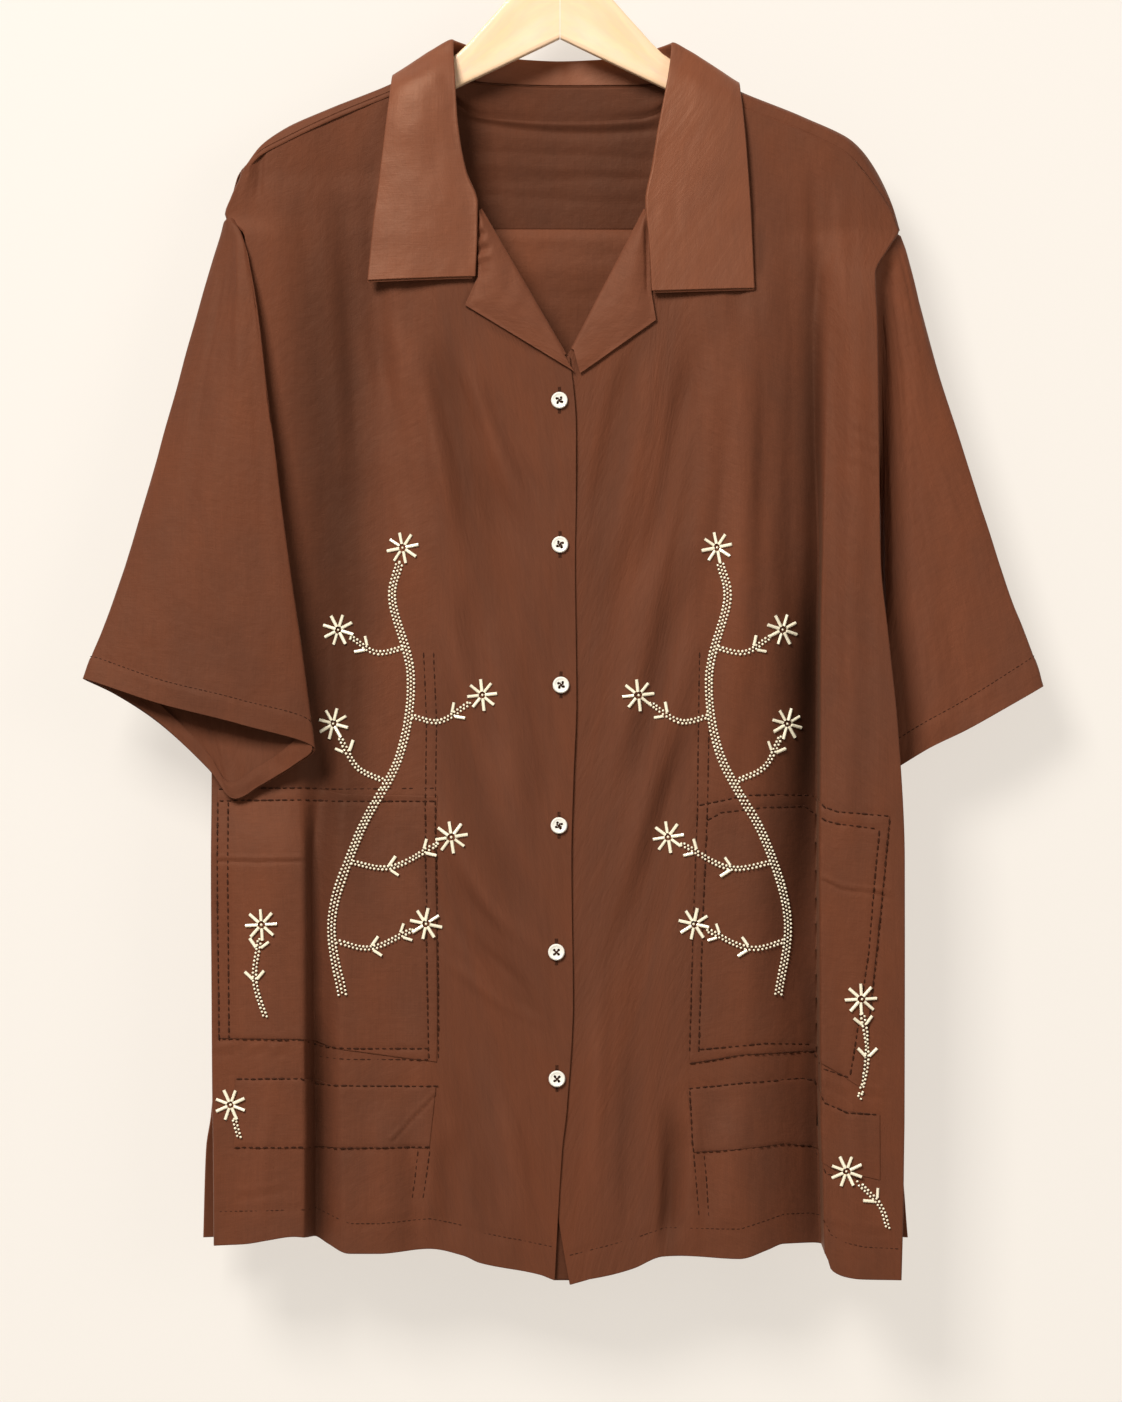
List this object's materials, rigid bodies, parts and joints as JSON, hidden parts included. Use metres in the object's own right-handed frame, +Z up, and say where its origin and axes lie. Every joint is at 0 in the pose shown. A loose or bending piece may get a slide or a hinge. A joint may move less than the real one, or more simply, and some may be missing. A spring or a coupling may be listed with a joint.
{
  "type": "short-sleeved camp-collar shirt on a wooden hanger",
  "caption": "Short-sleeved buttoned shirt with a turned-back camp collar, patch pockets and beadwork, hanging flat on a pale wooden hanger with a wire hook.",
  "frame": {"origin": "inner top of the hanger hook, where a rail holds it", "axes": "+X to the wearer's left (the right of the picture), +Y from the shirt's front to its back, +Z up"},
  "size_m": [0.6721, 0.0791, 1],
  "materials": {
    "cloth": "matt plain weave with a soft sheen",
    "collar_cloth": "matt plain weave, interlined",
    "button": "off-white, softly glossy",
    "wood": "pale, sealed, satin",
    "hook_steel": "bright wire"
  },
  "bodies": {
    "root": {"front_right": "cloth", "front_left": "cloth", "back_panel": "cloth", "yoke": "cloth", "sleeve_right": "cloth", "sleeve_left": "cloth", "collar": "collar_cloth", "revers_right": "cloth", "revers_left": "cloth", "pocket_right": "cloth", "lower_patch_right": "cloth", "pocket_left": "cloth", "lower_patch_left": "cloth", "button_1": "button", "button_2": "button", "button_3": "button", "button_4": "button", "button_5": "button", "button_6": "button", "hanger_arm_right": "wood", "hanger_arm_left": "wood", "hanger_hook": "hook_steel"}
  },
  "joints": []
}
